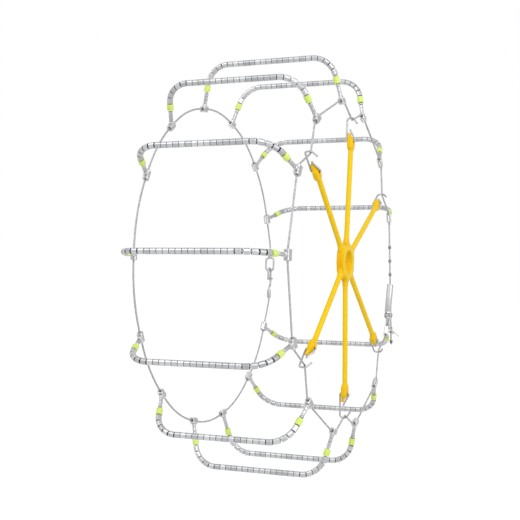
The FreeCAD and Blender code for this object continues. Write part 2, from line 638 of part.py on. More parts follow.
# A hook is bent from round wire in the plane of its arm and the Y axis, drawn as (distance beyond
# the cable, y). Its mouth takes the cable and flares away from the wheel; its other end passes
# through the grip's eyelet, and its free leg lies back in a channel over the grip.
bend_room = 1.55        # the bend at the eyelet cuts its corner, so it stands this much further off
free_y = -(size("grip_thickness") / 2 + size("hook_clearance") + size("hook_wire") / 2 + bend_room)
free_end = (hook_bottom + 21.5, 3.0)
for number, (spot, along, reach) in enumerate(hook_frames, start=1):
    node("tensioner_strap_%d" % number,
         lofted(hub_point, along, [(root_end, *strap, 0, 2), (reach + grip_back, *strap, 0, 2)]))
    swell = [(share * grip_length, wide * grip[0], thick * grip[1], lean_in, power)
             for share, wide, thick, lean_in, power in GRIP_FORM]
    shape = lofted(spot + along * grip_back, along, [(0, *strap, 0, 2)] + swell)
    eyelet = Part.makeCylinder(size("hook_wire") / 2 + 0.8, 4 * size("grip_thickness"),
                               spot + along * hook_bottom + V(0, 2 * size("grip_thickness"), 0),
                               V(0, -1, 0))
    foot = spot + along * hook_bottom + V(0, free_y, 0)
    free_leg = spot + along * free_end[0] + V(0, free_end[1], 0) - foot
    channel = Part.makeCylinder(size("hook_wire") / 2 + size("hook_clearance"), free_leg.Length + 4,
                                foot, free_leg)
    node("tensioner_grip_%d" % number, shape.cut(eyelet).cut(channel).removeSplitter())
    line = [(hook_apex - 10.5, -9.4), (hook_apex, -2.3), (hook_apex, size("hook_offset")),
            (hook_bottom, size("hook_offset")), (hook_bottom, free_y), free_end]
    wire = route([spot + along * d + V(0, y, 0) for d, y in line], [4.8, 4.5, 4.0, 3.0])
    node("cable_hook_%d" % number, rod(wire, size("hook_wire")))

# ------------------------------------------------------------------ checks and export
doc.recompute()
for thing in doc.Objects:
    faults = [state for state in thing.State if state in ("Invalid", "Error")]
    if faults:
        raise RuntimeError("%s is not sound: %s" % (thing.Label, faults))
os.makedirs("parts", exist_ok=True)
for old in os.listdir("parts"):
    os.remove(os.path.join("parts", old))
for part in sub_parts:
    shape = part.Shape
    if shape.isNull() or not shape.isValid() or not shape.Solids:
        raise RuntimeError("%s has no sound solid" % part.Label)
    shape.exportStep("parts/%s.step" % part.Label)
    print("%-24s solids %3d  volume %9.0f mm3" % (part.Label, len(shape.Solids), shape.Volume))
print(len(sub_parts), "sub-parts")
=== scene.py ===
# %% [markdown]
# # A cable snow chain
# This chain is a net of steel cable that is worn by a car's wheel. Thirteen cross members lie over
# the tread, strung with steel sleeves that bite the snow. Two side cables join them, and a yellow
# rubber tensioner keeps the outer one tight. The model is in metres, with the wheel's centre at the
# origin, the wheel's axis along Y and the outer side of the wheel toward -Y.
#
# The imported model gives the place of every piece. This lesson dresses it, one kind of piece after
# another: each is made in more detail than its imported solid, and tied to the body it moves with.

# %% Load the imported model
import bpy
import json
import math
import numpy as np
from mathutils import Matrix, Vector


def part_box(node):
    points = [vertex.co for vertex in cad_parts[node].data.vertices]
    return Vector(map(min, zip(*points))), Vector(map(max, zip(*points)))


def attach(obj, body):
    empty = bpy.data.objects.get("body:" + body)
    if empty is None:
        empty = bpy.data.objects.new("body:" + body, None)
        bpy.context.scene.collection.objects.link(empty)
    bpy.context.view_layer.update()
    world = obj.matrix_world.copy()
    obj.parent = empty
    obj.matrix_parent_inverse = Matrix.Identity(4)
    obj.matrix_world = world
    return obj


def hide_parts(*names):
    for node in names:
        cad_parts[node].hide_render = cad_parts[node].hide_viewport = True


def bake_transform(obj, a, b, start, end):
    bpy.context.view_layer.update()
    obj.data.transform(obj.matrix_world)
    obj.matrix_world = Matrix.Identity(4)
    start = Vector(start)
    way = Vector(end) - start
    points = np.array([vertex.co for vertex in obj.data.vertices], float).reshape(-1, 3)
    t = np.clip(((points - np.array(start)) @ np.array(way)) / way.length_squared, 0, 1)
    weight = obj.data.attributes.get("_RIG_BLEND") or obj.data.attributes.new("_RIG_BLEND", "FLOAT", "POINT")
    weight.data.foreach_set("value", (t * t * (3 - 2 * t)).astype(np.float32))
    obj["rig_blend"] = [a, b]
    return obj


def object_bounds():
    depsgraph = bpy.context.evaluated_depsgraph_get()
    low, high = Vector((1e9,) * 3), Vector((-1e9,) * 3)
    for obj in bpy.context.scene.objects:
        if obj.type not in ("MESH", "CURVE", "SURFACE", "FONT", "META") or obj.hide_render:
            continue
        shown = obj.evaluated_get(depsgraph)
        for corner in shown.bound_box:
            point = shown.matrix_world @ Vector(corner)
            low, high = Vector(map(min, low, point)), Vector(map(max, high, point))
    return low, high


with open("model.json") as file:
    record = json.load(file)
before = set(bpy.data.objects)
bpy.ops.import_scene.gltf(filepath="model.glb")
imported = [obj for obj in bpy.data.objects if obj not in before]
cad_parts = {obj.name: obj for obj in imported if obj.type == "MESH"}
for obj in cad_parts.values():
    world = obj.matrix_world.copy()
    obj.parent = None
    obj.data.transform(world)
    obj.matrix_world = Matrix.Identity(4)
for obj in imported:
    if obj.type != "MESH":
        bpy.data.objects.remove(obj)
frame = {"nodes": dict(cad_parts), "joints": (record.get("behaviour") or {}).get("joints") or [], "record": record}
cad_low, cad_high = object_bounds()
joints = {joint["name"]: joint for joint in frame["joints"]}
mounts = {mount["name"]: mount for mount in frame["record"]["mounts"]}
MM = 0.001


def placed(name, data):
    """A new object in the scene."""
    made = bpy.data.objects.new(name, data)
    bpy.context.scene.collection.objects.link(made)
    return made


print("the packed model measures", [round(c, 3) for c in cad_high - cad_low], "m")

# %% [markdown]
# ## Camera
# The wheel is seen from the tread's side, a little above its middle, with the outer side turned
# away to the right. A 70 mm lens from about 1.7 m keeps the perspective that the eye expects.

# %% Camera
camera_place = Vector((-1.5741, -0.6320, 0.1391))
aim = Matrix.Translation(camera_place)
for degrees, axis in ((-67.16, "Z"), (85.66, "X"), (-1.48, "Z")):      # azimuth, tilt, roll
    aim = aim @ Matrix.Rotation(math.radians(degrees), 4, axis)
camera = placed("camera", bpy.data.cameras.new("camera"))
camera.data.lens, camera.data.sensor_width = 70.0, 36.0
camera.matrix_world = aim
bpy.context.scene.camera = camera
print("the camera stands", round(camera_place.length, 3), "m from the wheel's centre")

# %% [markdown]
# ## Shader sums
# A finish is easier to read when its maths is written as sums. Wire holds one socket of a node tree
# and adds a Math node for each sum.

# %% Wire
class Wire:
    """One output socket of a finish, ready for sums with other wires or numbers."""

    def __init__(self, finish, socket):
        self.finish, self.socket = finish, socket

    def maths(self, operation, *others):
        return self.finish.node("Math", dict(enumerate((self, *others))), {"operation": operation})

    def __add__(self, other):
        return self.maths("ADD", other)

    def __sub__(self, other):
        return self.maths("SUBTRACT", other)

    def __mul__(self, other):
        return self.maths("MULTIPLY", other)


print("a wire adds, subtracts and multiplies")

# %% [markdown]
# ## Materials from nodes
# Finish makes a material, or a world, and adds nodes to it. surface ends it with a Principled
# shader, as the real materials differ in colour, roughness and fine relief, and that takes them all.

# %% Materials from nodes
class Finish:
    """A material, or a world, made of nodes."""

    def __init__(self, name, owner=None):
        self.owner = owner or bpy.data.materials.new(name)
        self.owner.use_nodes = True
        self.tree = self.owner.node_tree
        self.tree.nodes.clear()

    def node(self, kind, inputs=None, settings=None, output=0):
        """Adds a node, given the values or wires of its sockets, and gives the wire of an output."""
        made = self.tree.nodes.new("ShaderNode" + kind)
        for name, value in (settings or {}).items():
            setattr(made, name, value)
        for name, value in (inputs or {}).items():
            if isinstance(value, Wire):
                self.tree.links.new(value.socket, made.inputs[name])
            else:
                made.inputs[name].default_value = value
        return None if output is None else Wire(self, made.outputs[output])

    def place(self):
        return self.node("TexCoord", output="Object")

    def stretched(self, scale):
        return self.node("Mapping", {"Vector": self.place(), "Scale": scale})

    def noise(self, scale, detail=3.0, vector=None, roughness=0.5):
        return self.node("TexNoise", {
            "Vector": vector or self.place(), "Scale": scale, "Detail": detail, "Roughness": roughness})

    def attributes(self, *names):
        return [self.node("Attribute", None, {"attribute_name": name}, "Fac") for name in names]

    def seen(self):
        """1 for rays from the camera and for those that a surface mirrors or bends, else 0."""
        camera, mirrored, bent = (self.node("LightPath", output="Is %s Ray" % kind)
                                  for kind in ("Camera", "Glossy", "Transmission"))
        return camera + mirrored + bent

    def ramp(self, wire, low, high, start=0.0, end=1.0):
        """The wire's range from low to high, drawn out to run from start to end."""
        return self.node("MapRange", {
            "Value": wire, "From Min": low, "From Max": high, "To Min": start, "To Max": end})

    def mix(self, share, first, second):
        """Colour between two colours."""
        return self.node("Mix", {0: share, 6: first, 7: second}, {"data_type": "RGBA"}, 2)

    def bump(self, height, distance, strength):
        return self.node("Bump", {"Height": height, "Distance": distance, "Strength": strength})

    def surface(self, colour, rough, bump, more):
        """Principled surface. rough and bump are what ramp and bump take, more is for other sockets."""
        self.end(self.node("BsdfPrincipled", {
            "Base Color": colour, "Roughness": self.ramp(*rough), "Normal": self.bump(*bump), **more}))

    def end(self, shader, kind="OutputMaterial"):
        """Makes a shader the one that is seen."""
        self.node(kind, {"Surface": shader}, output=None)


METAL = {"Metallic": 1.0}


def grey(value):
    return (value, value, value, 1.0)


print("white is", grey(1.0))

# %% [markdown]
# ## Studio
# A pale floor under the chain, a white world around it, and three soft lamps. World and floor look
# white to the camera and in mirrors. On other surfaces the world shines half as strongly, and the
# lamps do the rest. A tube mirrors what lies across its axis, so the far lamp stands on the side
# away from the camera: it is the one that draws a bright line along the tubes on the tread.

# %% Studio
def lamp(name, place, power, width, height):
    """Soft rectangular lamp aimed at the wheel's centre."""
    light = bpy.data.lights.new(name, "AREA")
    light.shape, light.size, light.size_y, light.energy = "RECTANGLE", width, height, power
    made = placed(name, light)
    made.location = place
    made.rotation_euler = (-Vector(place)).to_track_quat("-Z", "Y").to_euler()


lamp("key", (-1.7, -1.1, 1.9), 24, 1.5, 1.5)
lamp("side", (-0.5, -2.4, 0.5), 11, 1.6, 1.2)
lamp("far", (-1.3, 1.25, 1.7), 8, 1.1, 0.9)

studio = Finish("studio", bpy.data.worlds.new("studio"))
bpy.context.scene.world = studio.owner
strength = studio.ramp(studio.seen(), 0.0, 1.0, 0.5, 1.0)
sky = studio.node("Background", {"Color": grey(1.0), "Strength": strength})
studio.end(sky, "OutputWorld")

bpy.ops.mesh.primitive_plane_add(size=14, location=(0, 0, cad_low.z - 0.4 * MM))
floor = bpy.context.object
floor.name = "studio_floor"
paint = Finish("studio_floor")
pale = paint.mix(paint.noise(3.0), grey(0.86), grey(0.9))
matt = paint.node("BsdfDiffuse", {"Color": pale})
glow = paint.node("Emission", {"Color": grey(1.0), "Strength": 1.25})
paint.end(paint.node("MixShader", {0: paint.seen() * 0.7, 1: matt, 2: glow}))
floor.data.materials.append(paint.owner)
bpy.context.scene.view_settings.view_transform = "Standard"
print("three lamps over a floor at z =", round(floor.location.z, 3), "m")

# %% [markdown]
# ## Heaps of copies
# Most of the chain is many copies of a few small turned parts. One mesh holds all the copies that
# move together. A Heap gathers their points and keeps four numbers for each: tone, one random number
# for the whole copy; a mark that is 1 on the rims that rub, on the clamps' edges, which are rubbed
# and carry a painted highlight, and where the rubber has painted shade; and run and turn, which are
# the way along the piece and round it.

# %% Heap
dice = np.random.default_rng(7)


class Heap:
    """Points and faces gathered for one object."""

    def __init__(self):
        self.points, self.faces, self.start = [], [], 0
        self.marks = {"tone": [], "wear_and_painted_light": [], "run": [], "turn": []}

    def add(self, shape, matrix=Matrix(), tone=None, run=None, turn=0.0):
        """Adds a shape, given as (points, faces, mark of rubbing and painted light), after a 4x4 matrix."""
        points, faces, wear_and_painted_light = shape
        run = points[:, 2] if run is None else run
        move = np.array(matrix)
        self.points.append(points @ move[:3, :3].T + move[:3, 3])
        self.faces += [[i + self.start for i in face] for face in faces]
        self.start += len(points)
        tone = dice.random() if tone is None else tone
        for label, values in (("tone", tone), ("wear_and_painted_light", wear_and_painted_light), ("run", run), ("turn", turn)):
            self.marks[label].append(np.broadcast_to(values, len(points)))
        return self

    def plain(self, name):
        """A bare object, for modifiers to work on or to be finished."""
        mesh = bpy.data.meshes.new(name)
        mesh.from_pydata(np.concatenate(self.points).tolist(), [], self.faces)
        return placed(name, mesh)

    def make(self, name, finish, slot, body, *nodes):
        """The finished object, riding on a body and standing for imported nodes."""
        made = self.plain(name)
        for label, values in self.marks.items():
            layer = made.data.attributes.new(label, "FLOAT", "POINT")
            layer.data.foreach_set("value", np.concatenate(values).astype(np.float32))
        made.data.shade_smooth()
        made.data.materials.append(finish.owner)
        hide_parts(*nodes)
        if body:
            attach(made, body)
        return made


print("a heap keeps", list(Heap().marks), "for each point")

# %% [markdown]
# ## Where the cross members are
# Each row of tread sleeves spins round its own cable, so its joint tells the angle and the radius of
# that cross member. The rest of a member follows from the tyre: the cable leans down the sidewall to
# the side cable, and bends over the shoulder with whatever room the sleeve at its end leaves.

# %% Stations
spins = [joints["rollers_%02d_spin" % n]["pos_m"] for n in range(1, 14)]
angles = [math.atan2(p[2], p[0]) for p in spins]
crown_radius = math.hypot(spins[0][0], spins[0][2])
cable_low, cable_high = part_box("outer_side_cable")
side_y = -(cable_low.y + cable_high.y) / 2
wall_drop = 71.5 * MM
side_radius = crown_radius - wall_drop
lean = math.radians(13)
turn_over = math.pi / 2 - lean
SIDES = ((-1, "outer"), (1, "inner"))


def at_station(angle, y, radius):
    return Vector((radius * math.cos(angle), y, radius * math.sin(angle)))


def tangent(angle):
    return Vector((-math.sin(angle), 0, math.cos(angle)))


def wall_point(angle, side, distance):
    """Point on the sidewall run of a member, so far from the side cable. side is -1 for outer."""
    return at_station(angle, side * (side_y - distance * math.sin(lean)),
                      side_radius + distance * math.cos(lean))


def wall_heading(angle, side):
    return (wall_point(angle, side, 1) - wall_point(angle, side, 0)).normalized()


clamp_size = Vector((16.6, 8.8, 10.6)) * MM        # along the side cable, across the wheel, outward
neck_end = clamp_size.z / 2 + 3.2 * MM
ferrule_length, collar_length, end_length = 15.4 * MM, 2.4 * MM, 11.4 * MM
ferrule_middle = neck_end + ferrule_length / 2
collar_middle = neck_end + ferrule_length + 0.6 * MM + collar_length / 2
end_middle = collar_middle + collar_length / 2 + 2.2 * MM + end_length / 2
wall_straight = end_middle + end_length / 2 + 1.0 * MM
corner_y = side_y - wall_drop * math.tan(lean)
reach = wall_drop / math.cos(lean) - wall_straight
shoulder_bend = reach / math.tan(turn_over / 2)
arc_y, arc_radius = corner_y - reach, crown_radius - shoulder_bend
print(len(angles), "cross members, shoulder bend", round(shoulder_bend / MM, 1), "mm")

# %% [markdown]
# ## Sleeve steel
# Steel that is turned on a lathe reflects in fine rings. Noise along the sleeve's own axis, which the
# heap keeps as run, draws those rings; slow noise in space adds handling marks, and the rims, which the
# heap marks with 1, are polished by the road. The end faces, past half a length from the middle, are
# painted dark: painted shade for the gaps between neighbouring pieces.

# %% Sleeve steel
def turned_steel(name, bright, dull, rough, half, rings=2600.0):
    """Steel for turned pieces half a length either side of their middle."""
    steel = Finish(name)
    tone, wear_and_painted_light, run = steel.attributes("tone", "wear_and_painted_light", "run")
    across = steel.node("CombineXYZ", {"X": run * rings, "Y": tone * 40.0})
    marks = steel.noise(1.0, 4.0, across, 0.65)
    handling, film = steel.noise(260.0, 4.0), steel.noise(38.0, 2.0)
    worn = steel.ramp(wear_and_painted_light * 0.8 + handling * 0.5, 0.45, 1.1)
    shade = steel.mix(steel.ramp(marks * 0.45 + tone * 0.3 + film * 0.3, 0.25, 0.8), dull, bright)
    polish = steel.mix(worn * 0.6, shade, (0.86, 0.86, 0.86, 1))
    from_middle = run.maths("ABSOLUTE") + handling * (0.3 * MM)
    # Painted shade: past half a length from the middle, the end faces are darkened for the gaps between pieces.
    painted_end_shade = steel.ramp(from_middle, half - 0.15 * MM, half + 0.15 * MM, 0.0, 0.85)
    steel.surface(steel.mix(painted_end_shade, polish, (0.11, 0.11, 0.115, 1)),
                  (marks * 0.5 + handling * 0.5 - worn * 0.35, 0.1, 0.8, rough, rough + 0.2),
                  (marks * 0.7 + handling * 0.3, 0.06 * MM, 0.35), METAL)
    return steel


sleeve_metal = turned_steel("sleeve_metal", (0.66, 0.665, 0.68, 1), (0.34, 0.345, 0.36, 1), 0.2, 4.6 * MM)
ferrule_metal = turned_steel("ferrule_metal", (0.62, 0.62, 0.63, 1), (0.34, 0.345, 0.36, 1), 0.24, 7.7 * MM,
                             1500.0)
print("each turned steel has", len(sleeve_metal.tree.nodes), "nodes")

# %% [markdown]
# ## Turned shapes
# Sleeves, ferrules, collars and beads come off a lathe, so each is a profile turned round the Z axis,
# with quads between its rings of points. laid gives the matrix that takes such a shape to its cable.

# %% Turned shapes
def full_turn(count):
    """Evenly spaced angles, once round."""
    return np.linspace(0, 2 * math.pi, count, endpoint=False)


def loops(rings, sides, closed_along=False, caps=False):
    """Quads that join rings of points, each of so many sides."""
    faces = []
    for i in range(rings if closed_along else rings - 1):
        here, there = i * sides, (i + 1) % rings * sides
        faces += [[here + k, here + (k + 1) % sides, there + (k + 1) % sides, there + k]
                  for k in range(sides)]
    if caps:
        faces += [list(range(sides))[::-1], [(rings - 1) * sides + k for k in range(sides)]]
    return faces


def turned(profile, sides=24, angles=None, shape=None):
    """Ring turned round the Z axis. profile is a closed loop of (z, radius, mark of rubbing and painted light)."""
    angles = full_turn(sides) if angles is None else angles
    points, wear_and_painted_light = [], []
    for z, radius, rub in profile:
        for angle in angles:
            r = shape(z, angle, radius) if shape else radius
            points.append((r * math.cos(angle), r * math.sin(angle), z))
            wear_and_painted_light.append(rub)
    return np.array(points), loops(len(profile), len(angles), closed_along=True), np.array(wear_and_painted_light)


def barrel(length, radius, bore, ease, dips=()):
    """Profile of a turned ring with eased rims. dips are (place, width, depth) grooves round it."""
    half, middle = length / 2, []
    for place, width, depth in dips:
        middle += [(place - width / 2, radius, 0.2), (place - width / 4, radius - depth, 0),
                   (place + width / 4, radius - depth, 0), (place + width / 2, radius, 0.2)]
    rim = [(half - 2 * ease, radius, 0), (half - ease, radius, 0.6),
           (half - 0.3 * ease, radius - 0.4 * ease, 1), (half, radius - ease, 1),
           (half, bore + ease * 0.5, 0.4), (half - ease, bore, 0)]
    far_rim = [(-z, r, rub) for z, r, rub in rim[::-1]]
    return far_rim[2:] + middle + rim + far_rim[:2]


def laid(origin, along, across, spin=0.0):
    """Matrix that moves a shape made on the Z axis to origin, with Z along a direction."""
    along, side = Vector(along).normalized(), Vector(across)
    side = (side - along * side.dot(along)).normalized()
    turn = Matrix((side, along.cross(side), along)).transposed().to_4x4()
    return Matrix.Translation(Vector(origin)) @ turn @ Matrix.Rotation(spin, 4, "Z")


print("a plain barrel has", len(barrel(2, 1, 0.5, 0.1)), "points in its profile")

# %% [markdown]
# ## Tread sleeves
# Fifteen short steel tubes lie end to end on each cross cable. They are loose, so that they roll and
# keep biting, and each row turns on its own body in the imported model. A tube is a profile turned
# round an axis: two eased rims, and a bore that shows only at the ends.

# %% Tread sleeves
sleeve_length, sleeve_radius, sleeve_gap = 9.2 * MM, 4.7 * MM, 0.7 * MM
cable_radius = 2.25 * MM
row_low, row_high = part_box("crown_rollers_01")
crown_count = round((row_high.y - row_low.y + sleeve_gap) / (sleeve_length + sleeve_gap))
tube_sleeve, bent_sleeve = (turned(barrel(sleeve_length, sleeve_radius, cable_radius + play, 0.5 * MM), 22)
                            for play in (0.08 * MM, 0.2 * MM))
for number, angle in enumerate(angles, start=1):
    row = Heap()
    for i in range(crown_count):
        y = (i - (crown_count - 1) / 2) * (sleeve_length + sleeve_gap)
        spot, spin = at_station(angle, y, crown_radius), dice.random() * 6
        row.add(tube_sleeve, laid(spot, (0, 1, 0), (1, 0, 0), spin))
    name = "crown_rollers_%02d" % number
    row.make("sleeves_%02d" % number, sleeve_metal, "sleeve_metal", name, name)
print(crown_count, "sleeves on each of", len(angles), "cross members")

# %% [markdown]
# ## Shoulder sleeves
# The same tubes sit on the bend where a member turns down the sidewall. As many fit as keep their
# inner rims from touching.

# %% Shoulder sleeves
rim_angle = 2 * math.atan(sleeve_length / 2 / (shoulder_bend - sleeve_radius))
shoulder_count = int(turn_over / rim_angle)
for side, word in SIDES:
    bends = Heap()
    for angle in angles:
        for i in range(shoulder_count):
            swing = (i + 0.5) * turn_over / shoulder_count
            spot = at_station(angle, side * (arc_y + shoulder_bend * math.sin(swing)),
                              arc_radius + shoulder_bend * math.cos(swing))
            ahead = at_station(angle, side * math.cos(swing), -math.sin(swing))
            bends.add(bent_sleeve, laid(spot, ahead, tangent(angle), dice.random() * 6))
    bends.make(word + "_shoulder_tubes", sleeve_metal, "sleeve_metal", "net", word + "_shoulder_sleeves")
print(shoulder_count, "on each shoulder")

# %% [markdown]
# ## End sleeves
# Fluorescent plastic sleeves close each row and mark the chain in the snow. They are moulded: a
# little fatter than the steel tubes and cut square, with two shallow grooves and a thin parting line
# along each side.

# %% End sleeves
green = Finish("safety_green")
tone, wear_and_painted_light = green.attributes("tone", "wear_and_painted_light")
cloud, speck = green.noise(120.0), green.noise(1500.0, 2.0)
fresh = green.mix(cloud * 0.7 + tone * 0.4, (0.67, 0.90, 0.12, 1), (0.80, 0.96, 0.21, 1))
green.surface(green.mix(wear_and_painted_light * 0.3, fresh, (0.86, 0.97, 0.4, 1)), (cloud + speck * 0.4, 0.3, 1.1, 0.26, 0.42),
              (speck * 0.6 + cloud, 0.1 * MM, 0.25),
              {"Coat Weight": green.ramp(cloud, 0.3, 0.7, 0.25, 0.45), "Coat Roughness": 0.12})

LINE_HALF = 0.1        # half a mould line's width, in radians round the sleeve


def parting(z, angle, radius):
    """Raises the two mould lines of a moulded sleeve a little."""
    off = abs((angle % math.pi) - math.pi / 2)
    return radius + (0.1 * MM * (1 - off / LINE_HALF) if off < LINE_HALF and radius > 4 * MM else 0)


end_profile = [(-5.7, 3.1, 0), (-5.7, 4.5, 0.4), (-5.6, 4.85, 0.9), (-5.35, 5.08, 1), (-5.0, 5.2, 0.4),
               (-3.4, 5.2, 0), (-2.9, 5.2, 0.2), (-2.65, 5.0, 0), (-2.15, 5.0, 0), (-1.9, 5.2, 0.2),
               (0, 5.2, 0)]
end_profile += [(-z, radius, rub) for z, radius, rub in end_profile[-2::-1]]
end_profile += [(5.6, 2.5, 0), (-5.6, 2.5, 0)]
line_edges = [line + edge for line in (math.pi / 2, 1.5 * math.pi) for edge in (-LINE_HALF, LINE_HALF)]
round_angles = np.sort(np.concatenate([full_turn(24), line_edges]))
end_sleeve = turned([(z * MM, radius * MM, rub) for z, radius, rub in end_profile],
                    angles=round_angles, shape=parting)


def strung(shape, side, middle, spin):
    """A shape on every member's sidewall run, so far along it, each turned by chance."""
    heap = Heap()
    for angle in angles:
        heap.add(shape, laid(wall_point(angle, side, middle), wall_heading(angle, side), tangent(angle),
                             dice.random() * spin))
    return heap


for side, word in SIDES:
    strung(end_sleeve, side, end_middle, 0.8).make(
        word + "_end_sleeves", green, "safety_green", "net", word + "_green_sleeves")
print("end sleeves", len(end_profile), "points round the profile")

# %% [markdown]
# ## Ferrules and collars
# A ferrule is a steel tube that a press has closed on the cable's end, so it keeps the press's bands
# and six slight flats between them. A thin collar stops the green sleeve.

# %% Ferrules and collars
def pressed(z, angle, radius):
    """Six soft flats in the two bands that the press has closed."""
    band = max(0.0, 1 - abs(abs(z) - 3.6 * MM) / (1.5 * MM))
    flat = 0.5 + 0.5 * math.cos(6 * angle)
    return radius - 0.22 * MM * flat * min(1.0, 2 * band) if radius > 2.6 * MM else radius


ferrule_shape = turned(barrel(ferrule_length, 3.2 * MM, cable_radius, 0.6 * MM,
                              [(-3.6 * MM, 3.4 * MM, 0.16 * MM), (3.6 * MM, 3.4 * MM, 0.16 * MM)]),
                       shape=pressed)
collar_shape = turned(barrel(collar_length, 3.7 * MM, cable_radius, 0.4 * MM))
for side, word in SIDES:
    for kind, shape, middle in (("ferrules", ferrule_shape, ferrule_middle),
                                ("collars", collar_shape, collar_middle)):
        strung(shape, side, middle, 6).make(
            "%s_%s_pressed" % (word, kind), ferrule_metal, "sleeve_metal", "net", "%s_%s" % (word, kind))
print("ferrule", round(ferrule_length / MM, 1), "mm long")

# %% [markdown]
# ## Bars along a line
# Ropes and wires are round bars along a line that is given by its corners and bends. Each ring of a
# bar is turned as little as possible from the one before it, so that the bar does not twist.

# %% Bars along a line
def unit(vector):
    return vector / np.linalg.norm(vector)


def carried(line):
    """Two directions across a line at each of its points, turned as little as possible."""
    heading = np.gradient(line, axis=0)
    heading /= np.linalg.norm(heading, axis=1)[:, None]
    first = np.cross(heading[0], (0.0, 1.0, 0.0))
    if np.linalg.norm(first) < 0.1:
        first = np.cross(heading[0], (1.0, 0.0, 0.0))
    across = [unit(first)]
    for run in heading[1:]:
        across.append(unit(across[-1] - run * np.dot(run, across[-1])))
    across = np.array(across)
    return heading, across, np.cross(heading, across)


def tube(line, radius, sides):
    """Round bar along a line of points. radius is one number or one for each point."""
    heading, across, beside = carried(line)
    radius = np.broadcast_to(radius, len(line))
    turn = full_turn(sides)
    ring = across[:, None] * np.cos(turn)[None, :, None] + beside[:, None] * np.sin(turn)[None, :, None]
    points = (line[:, None] + ring * radius[:, None, None]).reshape(-1, 3)
    return points, loops(len(line), sides, caps=True), np.zeros(len(points))


def line_of(corners, bends, step):
    """Points along straight runs that are joined by arcs, one bend radius for each inner corner."""
    corners = [np.array(c, float) for c in corners]
    stops = [corners[0]]
    for before, corner, after, bend in zip(corners, corners[1:], corners[2:], bends):
        to_back, to_next = unit(before - corner), unit(after - corner)
        half = math.acos(np.clip(to_back @ to_next, -1, 1)) / 2
        reach = bend / math.tan(half)
        centre = corner + unit(to_back + to_next) * bend / math.sin(half)
        first, last = corner + to_back * reach - centre, corner + to_next * reach - centre
        swing = math.pi - 2 * half
        count = max(3, int(math.ceil(swing * bend / step)) + 1, int(math.degrees(swing) / 9) + 1)
        for share in np.linspace(0, 1, count):
            stops.append(centre + (math.sin((1 - share) * swing) * first + math.sin(share * swing) * last)
                         / math.sin(swing))
    stops.append(corners[-1])
    filled = [stops[0]]
    for stop in stops[1:]:
        start = filled[-1]
        count = max(1, int(round(np.linalg.norm(stop - start) / step)))
        filled += [start + (stop - start) * i / count for i in range(1, count + 1)]
    return np.array(filled)


print("a quarter bend has", len(line_of([(1, 0, 0), (0, 0, 0), (0, 1, 0)], [1.0], 1.0)), "points")

# %% [markdown]
# ## Wire rope
# A rope is six strands laid round a core, and each strand is itself many wires laid the other way.
# The strands are real tubes here. The wires are a bump that follows two numbers kept on the mesh:
# run, which grows along the strand, and turn, which goes once round it. The same pattern paints each
# wire's crown lighter and the grooves between wires darker: painted light and shade.

# %% Wire rope
rope_steel = Finish("wire_rope")
tone, run, turn = rope_steel.attributes("tone", "run", "turn")
slant = run * 430.0 + turn * 7.0
wires = (slant * (2 * math.pi)).maths("SINE") * 0.5 + 0.5
grime, fine = rope_steel.noise(90.0, 4.0), rope_steel.noise(1400.0, 2.0)
# Painted light and shade: the wire pattern lightens each wire's crown and darkens the grooves; tone and fine noise
# are real variation.
wire_light_and_tone = wires * 0.55 + tone * 0.3 + fine * 0.2
clean = rope_steel.mix(wire_light_and_tone, (0.30, 0.305, 0.315, 1), (0.70, 0.705, 0.715, 1))
dusty = rope_steel.mix(rope_steel.ramp(grime, 0.55, 0.8, 0.0, 0.5), clean, (0.26, 0.255, 0.245, 1))
rope_steel.surface(dusty, (grime + fine * 0.3, 0.3, 0.9, 0.26, 0.46),
                   (wires + fine * 0.2, 0.2 * MM, 0.6), METAL)


def rope(heap, line, radius, lay, sides=7):
    """Adds six strands, laid round a line, to a heap. lay is the length of one full turn."""
    heading, across, beside = carried(line)
    run_along = np.concatenate([[0], np.cumsum(np.linalg.norm(np.diff(line, axis=0), axis=1))])
    for k in range(6):
        twist = run_along / lay * 2 * math.pi + k * math.pi / 3
        out = across * np.cos(twist)[:, None] + beside * np.sin(twist)[:, None]
        strand = line + out * (radius * 2 / 3)
        heap.add(tube(strand, radius * 0.345, sides), tone=dice.random(), run=np.repeat(run_along, sides),
                 turn=np.tile(np.arange(sides) / sides, len(line)))
    return heap


print("the rope's finish has", len(rope_steel.tree.nodes), "nodes")

# %% [markdown]
# ## The outer side cable
# One long rope goes from the closing lever's eye through every clamp, is drawn inward by the six
# hooks, and comes back as the straight run with beads. It is drawn as straight runs and arcs, the
# way a rope lies under tension.

# %% The outer side cable
HOOKED_GAPS = (1, 4, 6, 8, 10, 12)     # gap i follows cross member i, counted from 0
CLOSING_GAP = 9                        # the wide gap, where both side cables are closed
hook_draw = 24.5 * MM
hub_point = Vector(mounts["tensioner_hole"]["pos_m"])
pin_point = Vector(joints["lever_swing"]["pos_m"])
rope_radius = 1.65 * MM
side_lay = 21 * MM
straight = clamp_size.x / 2 + 3.0 * MM


def hook_spot(number):
    """Where the cable lies in a hook: on the drawn-in circle, along that hook's arm."""
    along = Vector(joints["hook_%d_pull" % number]["axis"])
    centre = Vector((hub_point.x, 0, hub_point.z))
    lead = centre.dot(along)
    reach = -lead + math.sqrt(lead ** 2 + (side_radius - hook_draw) ** 2 - centre.length_squared)
    return hub_point + along * reach, along, reach


